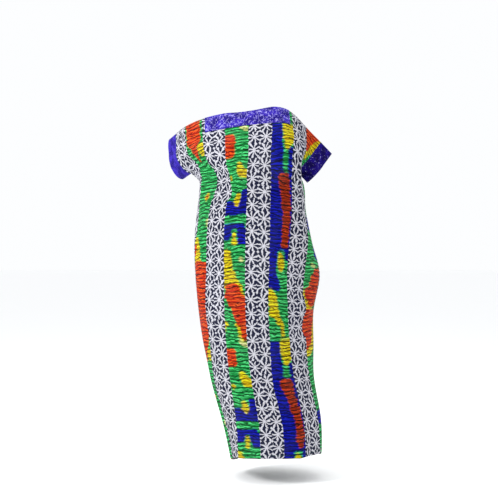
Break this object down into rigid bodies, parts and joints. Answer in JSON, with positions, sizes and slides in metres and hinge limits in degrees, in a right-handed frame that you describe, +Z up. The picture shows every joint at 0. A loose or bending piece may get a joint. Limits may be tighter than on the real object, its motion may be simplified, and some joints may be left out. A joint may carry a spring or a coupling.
{
  "type": "worn kaftan",
  "caption": "Full-length short-sleeved kaftan of striped wax-print cotton in its worn hollow shape, with an applied neck band and sleeve cuffs, open at neck, hem and cuffs.",
  "frame": {"origin": "the middle of the neck opening at the height of the shoulder seam", "axes": "+Z up, -Y the front of the garment, +Y its back, +X the wearer's left"},
  "size_m": [0.6709, 0.392, 1.4256],
  "materials": {
    "wax_print": "waxed cotton print, striped green and white with yellow, orange and blue, crisp, with a faint sheen",
    "band_print": "cotton print, violet blue with pale flecks, matt"
  },
  "bodies": {
    "root": {"back_panel": "wax_print", "front_panel": "wax_print", "neck_band_back": "band_print", "neck_band_front": "band_print", "cuff_left": "band_print", "cuff_right": "band_print"}
  },
  "joints": []
}
